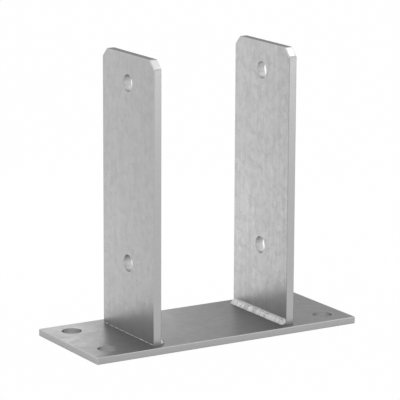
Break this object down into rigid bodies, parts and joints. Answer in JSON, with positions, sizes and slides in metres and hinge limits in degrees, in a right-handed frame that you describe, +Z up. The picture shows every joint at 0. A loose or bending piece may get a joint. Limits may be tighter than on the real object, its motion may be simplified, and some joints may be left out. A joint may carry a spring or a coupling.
{
  "type": "timber post base",
  "caption": "Bolt-down base for a timber post: a flat plate with anchor holes carries welded upright bars, drilled for through bolts, that hold the post between them.",
  "frame": {"origin": "middle of the base plate's underside", "axes": "+Z up along the uprights, +X along the plate from the left upright to the right one, +Y across the bars' width to the back"},
  "size_m": [0.208, 0.084, 0.2],
  "materials": {
    "galvanised_plate": "hot-dip galvanised, satin, faintly mottled",
    "galvanised_bar": "hot-dip galvanised, satin, with fine rolling streaks along the bar",
    "galvanised_weld": "hot-dip galvanised over a rippled weld bead"
  },
  "bodies": {
    "root": {"base_plate": "galvanised_plate", "left_upright": "galvanised_bar", "right_upright": "galvanised_bar", "left_inner_weld": "galvanised_weld", "right_inner_weld": "galvanised_weld"}
  },
  "joints": []
}
